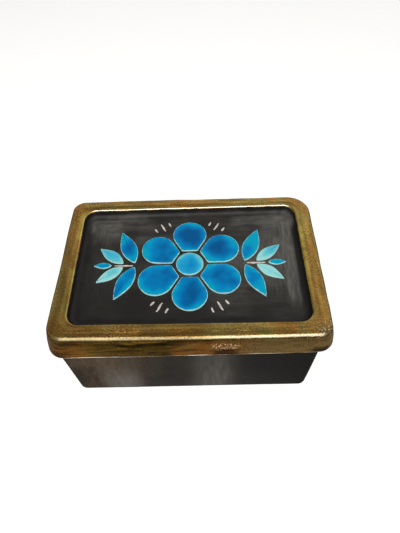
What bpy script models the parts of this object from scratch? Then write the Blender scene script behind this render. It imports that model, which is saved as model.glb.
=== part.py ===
"""Ceramic box with a loose cap lid, at its real size in metres.

The body is a straight-sided box, open at the top. The lid is a shallow cap shaped by hand: its skirt hangs
round the body's walls with some play, and its ceiling rests on their top edge. A broad rim frames a sunken
tray on top of the lid, and the tray's floor carries a flower between two leaf sprigs, as raised cells.

The origin lies under the middle of the lid, on the surface that the box stands on. X runs along the box,
Y from its front to its back, and Z up.
"""

import math

import bmesh
import bpy
from mathutils import Matrix, Vector

MM = 0.001
TOUCH = 0.001 * MM  # heights closer than this are one height
WELD = 0.02 * MM  # points of the relief closer than this are one point
SHARP = math.radians(35)  # an edge that folds more than this is drawn sharp

# Whole box, over the lid
BOX_LENGTH = 190.0 * MM
BOX_DEPTH = 128.5 * MM
BOX_HEIGHT = 89.5 * MM

# Lid, outside
LID_HEIGHT = 20.0 * MM
SIDE_LEAN = 3.2 * MM  # how far the rim stands in from the skirt's foot
TOP_EDGE = 3.2 * MM
RIM_CROWN = 0.3 * MM  # how far the rim's middle rises over its edges
WAIST_LEAN = 0.4  # share of that lean at half the side's height
HAND = 0.45 * MM  # how far hand-pressed clay strays from a true line
HAND_WAVES = ((3, 0.45), (5, 0.35), (8, 0.2))  # waves round the lid, and each one's share
HAND_PHASE = 0.37  # how far one seed turns the slowest wave, of a round

# Corners of the lid: right back, left back, left front and right front
FOOT_CORNERS = Vector((9.0, 9.0, 12.5, 11.5)) * MM  # radii at the skirt's foot
RIM_CORNERS = Vector((16.5, 9.0, 12.0, 9.0)) * MM  # and where the sides meet the rim
RIM_ASIDE = Vector((1.1, 1.0, 0.3, 0.0)) * MM  # how far the hand drew each corner of the rim to the right
RIM_BACKWARD = Vector((0.0, 0.0, 1.3, -0.3)) * MM  # and how far to the back, with the tray inside it
FOOT_CURL = Vector((0.0, 0.0, 0.0, 2.2)) * MM  # how far the skirt's foot turns up at each corner
CURL_FADE = 3  # power by which that fades away from the corner

# Lid, skirt and ceiling
SKIRT_WALL = 3.5 * MM
SKIRT_EDGE = 1.5 * MM
LID_PLAY = 1.2 * MM  # between the skirt and the body's walls
LID_SHIFT = 0.9 * MM  # the lid lies this far to the right on its body
LID_FORWARD = 0.5 * MM  # and this far to the front
CEILING = 7.0 * MM  # clay between the tray's floor and the hollow below
REST_GAP = 0.3 * MM

# Tray
RIM_LEFT = 15.3 * MM
RIM_RIGHT = 14.5 * MM
RIM_FRONT = 14.5 * MM
RIM_BACK = 13.1 * MM
TRAY_DEPTH = 6.0 * MM
TRAY_CORNER = 9.0 * MM
TRAY_EDGE = 1.4 * MM
TRAY_LEAN = 1.0 * MM
TRAY_COVE = 3.6 * MM

# Raised cells on the tray's floor
RELIEF = 1.2 * MM
CELL_EDGE = 0.5 * MM
CELL_ROOT = 1.0 * MM  # how deep a cell is sunk into the floor that it grows from
CELL_GAP = 1.5 * MM  # groove between neighbouring cells
CELL_STRAY = 0.04  # share by which hand-cut cells differ from one another
PETALS = 6
FLOWER_MARGIN = 6.5 * MM  # from the petals' tips to the foot of the tray's wall
FLOWER_SHARE = 0.55  # the most of the tray's half length that the flower takes
FLOWER_HEART = 10.0 * MM
SPRIG_MARGIN = 6.0 * MM  # from the sprigs' tips to the foot of the tray's wall
LEAF_PAIRS = 2
LEAF_SHARE = 0.46  # length of a sprig's end leaf, of the whole sprig
LEAF_GROWTH = 1.3  # share by which the leaves beside the flower outgrow the end leaf
LEAF_SLIMNESS = 0.38  # width of a leaf, of its length
LEAF_OPENING = math.radians(68)  # between the stem and the first pair of leaves
LEAF_CLOSING = 0.95  # share by which that angle closes towards the sprig's end
LEAF_BELLY = 0.85  # under 1, a leaf is widest before its middle
CELL_BEAT = 2.4  # the strays of neighbouring cells follow a wave with this step,
CELL_START = 0.7  # which starts here, both in radians

# Body
BODY_CORNER = 7.0 * MM
BODY_WALL = 5.5 * MM
BODY_FLOOR = 6.0 * MM
BODY_EDGE = 2.0 * MM  # rounding where the walls meet the underside
BODY_LIP = 1.2 * MM  # rounding along the top edge
INSIDE_CORNER = 3.0 * MM
INSIDE_EDGE = 2.5 * MM

# Steps along one outline of the lid
CORNER_STEPS = 8
LONG_STEPS = 11
SHORT_STEPS = 7

# Steps round the small edges, from a section
SKIRT_EDGE_STEPS = 2
TOP_EDGE_STEPS = 3
TRAY_EDGE_STEPS = 2
COVE_STEPS = 3
BLOCK_CORNER_STEPS = 5
BLOCK_EDGE_STEPS = 3

# Steps along one outline of a raised cell
PETAL_STEPS = 20
HEART_STEPS = 28
LEAF_STEPS = 9

# What follows from those sizes
LID_HALF = Vector((BOX_LENGTH / 2, BOX_DEPTH / 2))
SKIRT_HALF = LID_HALF - Vector((SKIRT_WALL, SKIRT_WALL))
BODY_HALF = SKIRT_HALF - Vector((LID_PLAY, LID_PLAY))
SKIRT_FOOT = BOX_HEIGHT - LID_HEIGHT
TRAY_HALF = LID_HALF - Vector((RIM_LEFT + RIM_RIGHT, RIM_FRONT + RIM_BACK)) / 2
TRAY_CENTRE = Vector((RIM_LEFT - RIM_RIGHT, RIM_FRONT - RIM_BACK)) / 2
TRAY_FLOOR = BOX_HEIGHT - TRAY_DEPTH
TRAY_RUN = TRAY_LEAN + TRAY_COVE  # the tray's wall, seen from above
FLOOR_HALF = TRAY_HALF - Vector((TRAY_RUN, TRAY_RUN))
CEILING_UNDERSIDE = TRAY_FLOOR - CEILING
BODY_HEIGHT = CEILING_UNDERSIDE - REST_GAP
FLOWER_RADIUS = min(FLOOR_HALF.y - FLOWER_MARGIN, FLOWER_SHARE * FLOOR_HALF.x)
SPRIG_REACH = FLOOR_HALF.x - SPRIG_MARGIN


def clear_scene():
    for old in list(bpy.data.objects):
        bpy.data.objects.remove(old, do_unlink=True)


def new_collection(name):
    collection = bpy.data.collections.new(name)
    bpy.context.scene.collection.children.link(collection)
    return collection


def new_material(name, colour, roughness, metallic=0.0):
    material = bpy.data.materials.new(name)
    material.use_nodes = True
    shader = material.node_tree.nodes["Principled BSDF"]
    shader.inputs["Base Color"].default_value = (*colour, 1.0)
    shader.inputs["Roughness"].default_value = roughness
    shader.inputs["Metallic"].default_value = metallic
    material.diffuse_color = (*colour, 1.0)
    return material


def new_object(name, bm, collection, materials):
    bmesh.ops.recalc_face_normals(bm, faces=bm.faces)
    mesh = bpy.data.meshes.new(name)
    bm.to_mesh(mesh)
    bm.free()
    for material in materials:
        mesh.materials.append(material)
    mesh.shade_smooth()
    mesh.set_sharp_from_angle(angle=SHARP)
    obj = bpy.data.objects.new(name, mesh)
    collection.objects.link(obj)
    return obj


def make_helper(obj):
    """Keeps a cutter or a joined blank out of the render."""
    obj.hide_render = True
    obj.display_type = "WIRE"


def combine(obj, other, operation):
    modifier = obj.modifiers.new(other.name, "BOOLEAN")
    modifier.operation = operation
    modifier.solver = "EXACT"
    modifier.object = other


def edges_at(bm, level):
    """The edges that lie level at this height."""
    return [e for e in bm.edges if all(math.isclose(v.co.z, level, abs_tol=TOUCH) for v in e.verts)]


def rounded_block(half, low, high, corner, low_edge, high_edge):
    """A box from z low to z high, with rounded upright edges, and rounded ends where their radius asks."""
    bm = bmesh.new()
    size = Matrix.Diagonal((2 * half.x, 2 * half.y, high - low, 1.0))
    bmesh.ops.create_cube(bm, size=1.0, matrix=Matrix.Translation((0, 0, (low + high) / 2)) @ size)
    upright = [e for e in bm.edges if abs(e.verts[0].co.z - e.verts[1].co.z) > (high - low) / 2]
    bmesh.ops.bevel(bm, geom=upright, offset=corner, segments=BLOCK_CORNER_STEPS, profile=0.5, affect="EDGES")
    for level, radius in ((low, low_edge), (high, high_edge)):
        if radius > 0:
            level_edges = edges_at(bm, level)
            bmesh.ops.bevel(
                bm, geom=level_edges, offset=radius, segments=BLOCK_EDGE_STEPS, profile=0.5, affect="EDGES"
            )
    return bm


def make_body(collection, cutters, glaze):
    """The lower half: a plain box with its hollow cut out of a rounded block."""
    outside = rounded_block(BODY_HALF, 0.0, BODY_HEIGHT, BODY_CORNER, BODY_EDGE, BODY_LIP)
    body = new_object("box_body", outside, collection, [glaze])
    wall = Vector((BODY_WALL, BODY_WALL))
    above = BODY_HEIGHT + BODY_WALL
    hollow = rounded_block(BODY_HALF - wall, BODY_FLOOR, above, INSIDE_CORNER, INSIDE_EDGE, 0.0)
    cutter = new_object("body_hollow", hollow, cutters, [glaze])
    make_helper(cutter)
    combine(body, cutter, "DIFFERENCE")
    for piece in (body, cutter):
        piece.location = (-LID_SHIFT, LID_FORWARD, 0.0)
    return body


def stray(turn, seed):
    """A smooth wave round the lid, between about -1 and 1, as a hand leaves it. Turn runs from 0 to 1."""
    total = 0.0
    for beats, share in HAND_WAVES:
        total += share * math.sin(math.tau * beats * (turn + seed * HAND_PHASE))
    return total


def even(radius):
    """The same radius at all four corners."""
    return Vector((radius,) * 4)


def corner_shares(point, half):
    """How much each corner counts at a point, in the order of the radii."""
    right, back = (point.x / half.x + 1) / 2, (point.y / half.y + 1) / 2
    return Vector((right * back, (1 - right) * back, (1 - right) * (1 - back), right * (1 - back)))


def outline(half, radii, z, centre=(0, 0), aside=even(0), backward=even(0), curl=even(0), hand=0.0, seed=0.0):
    """Points anticlockwise round a rectangle with round corners, from the end of its right side.

    Aside and backward draw its corners out of square, and curl lifts them. Hand lets it stray inward and
    down.
    """
    diagonals = (Vector((1, 1)), Vector((-1, 1)), Vector((-1, -1)), Vector((1, -1)))
    middles = [way * (half - Vector((radius, radius))) for way, radius in zip(diagonals, radii)]
    flat = []
    for number, steps in enumerate((LONG_STEPS, SHORT_STEPS, LONG_STEPS, SHORT_STEPS)):
        for step in range(CORNER_STEPS + 1):
            angle = math.radians(90.0 * (number + step / CORNER_STEPS))
            away = Vector((math.cos(angle), math.sin(angle)))
            flat.append((middles[number] + radii[number] * away, away))
        side_end, away = flat[-1]
        following = (number + 1) % 4
        next_start = middles[following] + radii[following] * away
        for step in range(1, steps):
            flat.append((side_end.lerp(next_start, step / steps), away))
    points = []
    for number, (point, away) in enumerate(flat):
        turn = number / len(flat)
        inward = hand * (1 - stray(turn, seed)) / 2
        down = hand * (1 - stray(turn, seed + 0.5)) / 2
        shares = corner_shares(point, half)
        moved = point - inward * away + Vector((shares.dot(aside), shares.dot(backward))) + Vector(centre)
        lift = sum(height * share**CURL_FADE for height, share in zip(curl, shares))
        points.append(Vector((moved.x, moved.y, z + lift - down)))
    return points


def arc(radius, start, end, steps):
    """Points (across, up) on a circle from one angle to another, in degrees."""
    for step in range(steps + 1):
        angle = math.radians(start + (end - start) * step / steps)
        yield radius * math.cos(angle), radius * math.sin(angle)


def side_outline(share, inset, z, seed):
    """An outline of the lid's side: share is 0 at its foot and 1 under the rim, and inset is further in."""
    setback = SIDE_LEAN * share + inset
    return outline(
        LID_HALF - Vector((setback, setback)),
        FOOT_CORNERS.lerp(RIM_CORNERS, share) - even(inset),
        z,
        aside=RIM_ASIDE * share,
        backward=RIM_BACKWARD * share,
        curl=FOOT_CURL * (1 - share),
        hand=HAND,
        seed=seed,
    )


def skirt_outlines():
    """From the ceiling down the inside of the skirt, round its foot and up its leaning outer side."""
    inside_corners = even(BODY_CORNER + LID_PLAY)
    edge = SKIRT_EDGE
    yield outline(SKIRT_HALF, inside_corners, CEILING_UNDERSIDE)
    for across, up in arc(edge, 180, 270, SKIRT_EDGE_STEPS):
        out = edge + across
        half = SKIRT_HALF + Vector((out, out))
        yield outline(half, inside_corners + even(out), SKIRT_FOOT + edge + up, curl=FOOT_CURL)
    for across, up in arc(edge, 270, 360, SKIRT_EDGE_STEPS):
        yield side_outline(0.0, edge - across, SKIRT_FOOT + edge + up, 1.0)


def rim_outlines():
    """Over the outer edge of the rim, across its crown and over the tray's edge."""
    low = BOX_HEIGHT - RIM_CROWN
    side_foot = SKIRT_FOOT + SKIRT_EDGE
    side_top = low - TOP_EDGE
    waist = (side_foot + side_top) / 2
    for z, share in ((waist, WAIST_LEAN), (side_top, 1.0)):
        yield side_outline(share, 0.0, z, 1.0 + share)
    rounded = []
    for across, up in list(arc(TOP_EDGE, 0, 90, TOP_EDGE_STEPS))[1:]:
        rounded.append(side_outline(1.0, TOP_EDGE - across, side_top + up, 2.0))
    yield from rounded
    inner = tray_outline(-TRAY_EDGE, low, HAND)
    yield [(a + b) / 2 + Vector((0, 0, RIM_CROWN)) for a, b in zip(rounded[-1], inner)]
    yield inner


def tray_outline(inset, z, hand=0.0):
    """An outline inside the tray's edge by this inset."""
    half = TRAY_HALF - Vector((inset, inset))
    radii = even(TRAY_CORNER - inset)
    return outline(half, radii, z, TRAY_CENTRE, backward=RIM_BACKWARD, hand=hand, seed=3.0)


def tray_outlines():
    """From the tray's edge down its wall and round the cove to the floor."""
    low = BOX_HEIGHT - RIM_CROWN - TRAY_EDGE
    for across, up in list(arc(TRAY_EDGE, 90, 180, TRAY_EDGE_STEPS))[1:]:
        yield tray_outline(-TRAY_EDGE - across, low + up, HAND)
    for across, up in arc(TRAY_COVE, 0, -90, COVE_STEPS):
        yield tray_outline(TRAY_RUN - across, TRAY_FLOOR + TRAY_COVE + up)


def loft(rings):
    """A closed body through outlines of as many points each, with a flat face over the first and the last."""
    bm = bmesh.new()
    rows = [[bm.verts.new(point) for point in ring] for ring in rings]
    for row, following in zip(rows, rows[1:]):
        for number, vert in enumerate(row):
            after = (number + 1) % len(row)
            bm.faces.new((vert, row[after], following[after], following[number]))
    bm.faces.new(rows[0])
    bm.faces.new(reversed(rows[-1]))
    return bm


def astray(number, share):
    """A small share, plus or minus, that gives each hand-cut cell its own turn or length."""
    return share * math.sin(CELL_BEAT * number + CELL_START)


def petal(number):
    """A petal's outline round the flower's middle: straight sides along its neighbours, and a round end."""
    half_wedge = math.pi / PETALS
    groove = CELL_GAP / 2
    base = FLOWER_HEART + CELL_GAP
    middle = (FLOWER_RADIUS + groove) / (1 + math.sin(half_wedge))
    end_radius = FLOWER_RADIUS - middle
    base_half = base * math.tan(half_wedge) - groove / math.cos(half_wedge)
    points = [Vector((base, base_half)), Vector((base, -base_half))]
    sweep = math.pi / 2 + half_wedge
    for step in range(PETAL_STEPS + 1):
        angle = sweep * (2 * step / PETAL_STEPS - 1)
        points.append(Vector((middle + end_radius * math.cos(angle), end_radius * math.sin(angle))))
    turned = Matrix.Rotation(math.tau * (number + 0.5) / PETALS, 2)
    grown = 1 + astray(number, CELL_STRAY / 2)
    return [turned @ (point * grown) for point in points]


def heart():
    """The round cell in the flower's middle."""
    angles = (math.tau * step / HEART_STEPS for step in range(HEART_STEPS))
    return [Vector((FLOWER_HEART * math.cos(angle), FLOWER_HEART * math.sin(angle))) for angle in angles]


def leaf(foot, turn, length):
    """A leaf from its foot outwards, pointed at both ends and widest before its middle."""
    side = []
    for step in range(1, LEAF_STEPS):
        share = step / LEAF_STEPS
        across = LEAF_SLIMNESS * length / 2 * math.sin(math.pi * share**LEAF_BELLY)
        side.append((share * length, across))
    points = [Vector((0.0, 0.0)), *(Vector((along, -across)) for along, across in side)]
    points += [Vector((length, 0.0)), *(Vector((along, across)) for along, across in reversed(side))]
    turned = Matrix.Rotation(turn, 2)
    return [foot + turned @ point for point in points]


def sprig():
    """The leaves right of the flower: pairs that open out along a stem, and one at its end."""
    reach = SPRIG_REACH - FLOWER_RADIUS
    length = LEAF_SHARE * reach
    cells = [leaf(Vector((SPRIG_REACH - length, 0.0)), 0.0, length)]
    for pair in range(LEAF_PAIRS):
        along = pair / LEAF_PAIRS
        foot_x = FLOWER_RADIUS + (reach - length) * along
        grown = length * (1 + LEAF_GROWTH * (1 - along))
        for side in (1, -1):
            differs = 1 + astray(2 * pair + side, CELL_STRAY)
            opening = side * LEAF_OPENING * (1 - LEAF_CLOSING * along) * differs
            cells.append(leaf(Vector((foot_x, side * CELL_GAP)), opening, grown * differs))
    return cells


def ornament_cells():
    """The outline of every raised cell, around the middle of the tray's floor."""
    right = sprig()
    left = [[Vector((-point.x, point.y)) for point in reversed(cell)] for cell in right]
    return [heart(), *(petal(number) for number in range(PETALS)), *right, *left]


def make_relief(cutters, glaze):
    """The raised cells as flat outlines, extruded, with their top edges taken off."""
    curve = bpy.data.curves.new("relief_outlines", "CURVE")
    curve.dimensions = "2D"
    curve.fill_mode = "BOTH"
    curve.extrude = (RELIEF + CELL_ROOT) / 2
    for cell in ornament_cells():
        spline = curve.splines.new("POLY")
        spline.points.add(len(cell) - 1)
        spline.use_cyclic_u = True
        for place, point in zip(spline.points, cell):
            place.co = (point.x, point.y, 0.0, 1.0)
    drawn = bpy.data.objects.new("relief_outlines", curve)
    cutters.objects.link(drawn)
    drawn.location = (*TRAY_CENTRE, TRAY_FLOOR + (RELIEF - CELL_ROOT) / 2)
    bpy.context.view_layer.update()
    evaluated = drawn.evaluated_get(bpy.context.evaluated_depsgraph_get())
    mesh = bpy.data.meshes.new_from_object(evaluated)
    bm = bmesh.new()
    bm.from_mesh(mesh)
    bm.transform(drawn.matrix_world)
    bpy.data.meshes.remove(mesh)
    bpy.data.objects.remove(drawn, do_unlink=True)
    bmesh.ops.remove_doubles(bm, verts=bm.verts, dist=WELD)
    bmesh.ops.dissolve_limit(bm, angle_limit=math.radians(1), verts=bm.verts, edges=bm.edges)
    tops = edges_at(bm, TRAY_FLOOR + RELIEF)
    bmesh.ops.bevel(bm, geom=tops, offset=CELL_EDGE, segments=1, profile=0.5, affect="EDGES")
    relief = new_object("relief_cells", bm, cutters, [glaze])
    make_helper(relief)
    return relief


def make_lid(collection, cutters, lustre, glaze, blue):
    """The cap, lofted through its outlines, with the raised cells joined on."""
    rings = [*skirt_outlines(), *rim_outlines(), *tray_outlines()]
    lid = new_object("lid", loft(rings), collection, [lustre, glaze, blue])
    glaze_top = BOX_HEIGHT - RIM_CROWN - TRAY_EDGE
    for face in lid.data.polygons:
        across = face.center.xy - TRAY_CENTRE
        over_tray = abs(across.x) < TRAY_HALF.x and abs(across.y) < TRAY_HALF.y
        if over_tray and CEILING_UNDERSIDE < face.center.z < glaze_top and face.normal.z > 0:
            face.material_index = 1
    combine(lid, make_relief(cutters, blue), "UNION")
    return lid


def main():
    clear_scene()
    parts = new_collection("ceramic_box")
    cutters = new_collection("cutters")
    glaze = new_material("black_satin_glaze", (0.022, 0.021, 0.020), 0.42)
    lustre = new_material("gold_lustre", (0.34, 0.21, 0.06), 0.33, 1.0)
    blue = new_material("blue_glaze", (0.0, 0.25, 0.55), 0.15)
    make_body(parts, cutters, glaze)
    make_lid(parts, cutters, lustre, glaze, blue)


main()
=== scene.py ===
"""Ceramic box with a loose cap lid: fine meshes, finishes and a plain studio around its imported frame.

A black satin glaze covers the whole box. Gold lustre is brushed over the lid's rim and skirt, down to a
ragged line inside the tray. The tray's floor carries a flower between two leaf sprigs, as cells of pooled
blue glaze.

Lengths are in metres, in the frame's own axes: X along the box, Y from its front to its back, and Z up.
"""

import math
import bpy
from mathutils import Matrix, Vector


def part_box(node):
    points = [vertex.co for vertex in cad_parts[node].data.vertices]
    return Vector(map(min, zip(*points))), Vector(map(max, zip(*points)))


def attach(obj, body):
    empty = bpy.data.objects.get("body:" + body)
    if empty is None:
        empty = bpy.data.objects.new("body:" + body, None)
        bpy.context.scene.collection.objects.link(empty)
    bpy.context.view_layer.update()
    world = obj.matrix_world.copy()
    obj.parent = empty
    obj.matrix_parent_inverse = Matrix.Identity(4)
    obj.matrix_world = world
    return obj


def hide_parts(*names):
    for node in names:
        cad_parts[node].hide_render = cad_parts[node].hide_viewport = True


bl_info = {
    "name": "Ceramic Box",
    "version": (1, 0, 0),
    "blender": (4, 5, 0),
    "location": "View3D > Sidebar > Ceramic Box",
    "description": "Models a glazed box with a gold lustre lid around its packed frame",
    "category": "Object",
}

from functools import partial, reduce
from types import SimpleNamespace

import bpy
import numpy as np
from bpy.props import FloatProperty, FloatVectorProperty, IntProperty, PointerProperty
from mathutils import Matrix, Vector, noise

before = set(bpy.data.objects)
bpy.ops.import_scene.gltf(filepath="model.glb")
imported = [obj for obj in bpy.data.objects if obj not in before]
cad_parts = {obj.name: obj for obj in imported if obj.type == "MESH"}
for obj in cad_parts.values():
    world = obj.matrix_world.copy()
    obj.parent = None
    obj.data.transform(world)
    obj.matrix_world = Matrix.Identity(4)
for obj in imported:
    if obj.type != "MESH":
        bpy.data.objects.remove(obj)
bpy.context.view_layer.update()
LID_LOW, LID_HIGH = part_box("lid")
BODY_LOW, BODY_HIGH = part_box("box_body")

MM = 0.001

# Steps round one outline: along each straight side, and round half of each corner
LONG_STEPS = 160
SHORT_STEPS = 100
HALF_CORNER_STEPS = 12

# Steps across the rim, along a petal's end or one side of a leaf, round the heart, and along a slip stroke
RIM_STEPS = 12
CURVE_STEPS = 40
HEART_STEPS = 72
STROKE_STEPS = 26

# A hand-cut outline: the spacing and the least number of its points, and how often its tips are worn down
CUT_SPACING = 0.5 * MM
FEWEST_CUTS = 24
WEAR_ROUNDS = 4

# How far in from its outer and its inner edge the rim's crown begins, in radii of that edge
PAST_EDGE = 1.2

# Each kind of node: its type, its inputs in the order in which they are given, its output and its settings.
# The inputs of a mix share their names, so they go by number.
PLACE, FACING, WAY = (("ShaderNodeTexCoord", (), output, {}) for output in ("Object", "Normal", "Generated"))
AXES = [("ShaderNodeSeparateXYZ", ("Vector",), axis, {}) for axis in "XYZ"]
INSIDE_LUSTRE, FROM_EDGE = (
    ("ShaderNodeAttribute", (), "Fac", {"attribute_name": name}) for name in ("inside_lustre", "from_edge")
)
CLOUDS = ("ShaderNodeTexNoise", ("Vector", "Scale", "Detail", "Distortion"), 0, {})
STRETCH = ("ShaderNodeMapping", ("Vector", "Scale"), 0, {})
RANGE = ("Value", "From Min", "From Max", "To Min", "To Max")
SPREAD = ("ShaderNodeMapRange", RANGE, 0, {"interpolation_type": "SMOOTHSTEP"})
MIX = ("ShaderNodeMix", (0, 2, 3), 0, {"data_type": "FLOAT"})
BLEND = ("ShaderNodeMix", (0, 6, 7), 2, {"data_type": "RGBA"})
DYE = ("ShaderNodeMix", (0, 6, 7), 2, {"data_type": "RGBA", "blend_type": "MULTIPLY"})
TIMES, PLUS, MINUS, OVER, HIGHER, LOWER, SIZE = (
    ("ShaderNodeMath", (0, 1), 0, {"operation": operation})
    for operation in ("MULTIPLY", "ADD", "SUBTRACT", "DIVIDE", "MAXIMUM", "MINIMUM", "ABSOLUTE")
)
ALIKE = ("ShaderNodeVectorMath", (0, 1), "Value", {"operation": "DOT_PRODUCT"})
BUMP = ("ShaderNodeBump", ("Strength", "Distance", "Height"), 0, {})
SURFACE = ("ShaderNodeBsdfPrincipled", (), 0, {})
LIGHT = ("ShaderNodeBackground", ("Color", "Strength"), 0, {})
MATERIAL_END, WORLD_END = (("ShaderNodeOutput" + end, ("Surface",), 0, {}) for end in ("Material", "World"))

# The golds times this still mirror no more light than they get, so they keep their hue
BRIGHTEST = 2.0


def linear(hex_colour):
    """An sRGB hex value as a linear colour."""
    channels = [int(hex_colour[place : place + 2], 16) / 255 for place in (0, 2, 4)]
    return (*(c / 12.92 if c <= 0.04045 else ((c + 0.055) / 1.055) ** 2.4 for c in channels), 1.0)


def mm(*millimetres):
    """Lengths in millimetres as metres."""
    return tuple(value * MM for value in millimetres)


def length(name, description, default):
    return FloatProperty(name=name, description=description, default=default, unit="LENGTH", precision=5)


def decimal(name, description, default):
    return FloatProperty(name=name, description=description, default=default, min=0)


def whole(name, description, default, least):
    return IntProperty(name=name, description=description, default=default, min=least)


def share(name, description, default):
    return FloatProperty(name=name, description=description, default=default, subtype="FACTOR", min=0, max=1)


def at_corners(name, description, millimetres):
    """One length for each corner, anticlockwise from the right front."""
    return FloatVectorProperty(
        name=name, description=description, default=mm(*millimetres), size=4, unit="LENGTH", precision=5
    )


def angle(name, description, degrees):
    return FloatProperty(name=name, description=description, default=math.radians(degrees), subtype="ANGLE")


def colour(name, description, hex_colour):
    return FloatVectorProperty(
        name=name, description=description, default=linear(hex_colour), subtype="COLOR", size=4, min=0, max=1
    )


class LidSizes(bpy.types.PropertyGroup):
    """The cap: its outside, its skirt and its ceiling."""

    half_length: length("Half length", "From the middle to the skirt's foot, along the box", 95.0 * MM)
    half_depth: length("Half depth", "From the middle to the skirt's foot, across the box", 64.25 * MM)
    top: length("Top", "Height of the rim's crown", LID_HIGH.z)
    foot: length("Foot", "Height of the skirt's foot", LID_LOW.z + 0.4 * MM)
    foot_corners: at_corners("Foot corners", "Radii of the corners at the foot", (11.5, 9.0, 9.0, 12.5))
    rim_corners: at_corners("Rim corners", "Radii of the corners under the rim", (9.0, 16.5, 9.0, 12.0))
    aside: at_corners("Aside", "How far the hand drew the rim's corners to the right", (-0.6, 1.0, 1.0, 0.3))
    backward: at_corners("Backward", "How far the hand drew the rim's corners back", (0.4, 0.0, 0.0, 1.2))
    bulge: length("Bulge", "How far the rim's front edge stands out in its middle", 1.3 * MM)
    curl: at_corners("Curl", "How far the skirt's foot turns up at its corners", (2.2, 0.0, 0.0, 0.0))
    curl_fade: whole("Curl fade", "Power by which that fades away from the corner", 3, 1)
    lean: length("Lean", "How far the rim stands in from the skirt's foot", 3.2 * MM)
    waist: share("Waist", "Share of that lean at half the side's height", 0.4)
    bow: length("Bow", "Radius of the soft bend at the waist", 8.0 * MM)
    edge: length("Edge", "Radius where the side turns into the rim", 3.2 * MM)
    crown: length("Crown", "How far the rim's middle rises over its edges", 0.3 * MM)
    wall: length("Wall", "Thickness of the skirt", 3.5 * MM)
    foot_edge: length("Foot edge", "Radius along the skirt's foot", 1.5 * MM)
    inside_corner: length("Inside corner", "Radius of the skirt's inside corners", 8.2 * MM)
    ceiling: length("Ceiling", "Height of the face that rests on the body", BODY_HIGH.z + 0.3 * MM)
    dent: length("Dent", "How deep the hand's broad dents go", 0.5 * MM)
    dent_size: length("Dent size", "Size of those broad dents", 17.0 * MM)
    ripple: length("Ripple", "How deep the small dents go", 0.1 * MM)
    ripple_size: length("Ripple size", "Size of those small dents", 4.5 * MM)


class TraySizes(bpy.types.PropertyGroup):
    """The sunken tray and the rim round it."""

    rim_left: length("Left rim", "Width of the rim, from the skirt's foot to the tray", 15.3 * MM)
    rim_right: length("Right rim", "Width of the rim, from the skirt's foot to the tray", 14.5 * MM)
    rim_front: length("Front rim", "Width of the rim, from the skirt's foot to the tray", 14.5 * MM)
    rim_back: length("Back rim", "Width of the rim, from the skirt's foot to the tray", 13.1 * MM)
    aside: at_corners("Aside", "How far the hand drew the tray's corners to the right", (0.0, 0.8, -0.7, 0.0))
    backward: at_corners("Backward", "How far the hand drew the tray's corners back", (-0.5, 0.0, -0.8, 0.6))
    depth: length("Depth", "From the rim's crown down to the tray's floor", 6.0 * MM)
    corner: length("Corner", "Radius of the tray's upright corners", 9.0 * MM)
    edge: length("Edge", "Radius where the rim turns into the tray's wall", 1.4 * MM)
    wall_run: length("Wall run", "How far the wall leans in over its height", 1.9 * MM)
    cove: length("Cove", "Radius where the wall turns into the floor", 3.8 * MM)
    paint_line: length("Paint line", "How far the lustre reaches down the wall", 0.8 * MM)
    hollow: length("Hollow", "How deep the floor's broad unevenness goes", 0.3 * MM)
    hollow_size: length("Hollow size", "Size of that unevenness", 26.0 * MM)


class OrnamentSizes(bpy.types.PropertyGroup):
    """The flower and the two sprigs of glaze cells."""

    gap: length("Gap", "Groove between neighbouring cells", 1.5 * MM)
    petals: whole("Petals", "Petals round the flower's heart", 6, 3)
    flower_margin: length("Flower margin", "From the petals' tips to the foot of the tray's wall", 6.5 * MM)
    heart: length("Heart", "Radius of the round cell in the flower's middle", 10.0 * MM)
    sprig_margin: length("Sprig margin", "From the sprigs' tips to the foot of the tray's wall", 6.0 * MM)
    leaf_pairs: whole("Leaf pairs", "Pairs of leaves on a sprig", 2, 1)
    leaf_share: share("Leaf share", "Length of a sprig's end leaf, of the whole sprig", 0.46)
    leaf_growth: decimal("Leaf growth", "Share by which the leaves at the flower outgrow the end leaf", 1.3)
    leaf_slimness: share("Leaf slimness", "Width of a leaf, of its length", 0.38)
    leaf_belly: share("Leaf belly", "Under 1, a leaf is widest before its middle", 0.85)
    leaf_opening: angle("Leaf opening", "Between the stem and the first pair of leaves", 68)
    leaf_closing: share("Leaf closing", "Share by which that angle closes towards the end", 0.95)
    stray: share("Stray", "Share by which hand-cut cells differ from one another", 0.04)
    height: length("Height", "How far a cell's edge stands over the floor", 1.05 * MM)
    swell: length("Swell", "How far the glaze swells over that edge", 0.15 * MM)
    root: length("Root", "How deep a cell is sunk into the floor", 0.6 * MM)
    wobble: length("Wobble", "How far a hand-cut outline strays", 0.25 * MM)
    wobble_size: length("Wobble size", "Length of one stray along an outline", 6.0 * MM)
    ray_spread: angle("Ray spread", "Between neighbouring rays of slip outside the petals", 8)
    stroke_width: length("Stroke width", "Width of a slip stroke", 1.5 * MM)
    stroke_height: length("Stroke height", "How far a slip stroke stands over the floor", 0.25 * MM)


class BodySizes(bpy.types.PropertyGroup):
    """The lower half: an open box."""

    corner: length("Corner", "Radius of the upright corners", 7.0 * MM)
    wall: length("Wall", "Thickness of the walls", 5.5 * MM)
    floor: length("Floor", "Thickness of the floor", 6.0 * MM)
    edge: length("Edge", "Radius where the walls meet the underside", 2.0 * MM)
    lip: length("Lip", "Radius along the top edge", 1.2 * MM)
    inside_corner: length("Inside corner", "Radius of the upright corners inside", 3.0 * MM)
    inside_edge: length("Inside edge", "Radius where the walls meet the floor inside", 2.5 * MM)
    dent: length("Dent", "How deep the walls' broad unevenness goes", 0.4 * MM)
    dent_size: length("Dent size", "Size of that unevenness", 32.0 * MM)


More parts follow.
